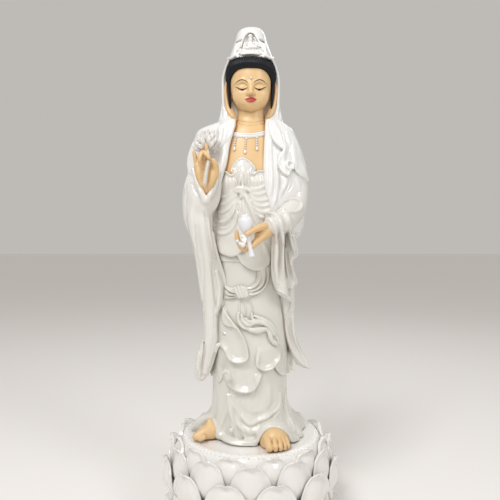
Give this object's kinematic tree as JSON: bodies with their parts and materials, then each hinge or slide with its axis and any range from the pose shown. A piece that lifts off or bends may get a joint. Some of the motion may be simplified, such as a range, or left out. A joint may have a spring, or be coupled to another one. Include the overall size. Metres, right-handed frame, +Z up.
{
  "type": "guanyin figure",
  "caption": "Standing Guanyin in white glazed porcelain with painted skin and hair, holding a willow sprig and an inverted vase, on a round lotus plinth.",
  "frame": {"origin": "centre of the plinth's underside", "axes": "+Z up, the figure faces -Y, and its raised right hand is at -X"},
  "size_m": [0.172, 0.172, 0.4813],
  "materials": {
    "white_glaze": "bright glossy white glaze, warmer in the hollows",
    "grey_glaze": "silvery grey-white glaze",
    "skin_paint": "satin peach paint on fired clay",
    "hair_paint": "satin blue-black paint",
    "lip_paint": "satin red paint",
    "crystal": "clear-white polished bead"
  },
  "bodies": {
    "root": {"lotus_plinth": "white_glaze", "guanyin_figure": "white_glaze", "ambrosia_vase": "white_glaze", "willow_sprig": "grey_glaze"}
  },
  "joints": []
}
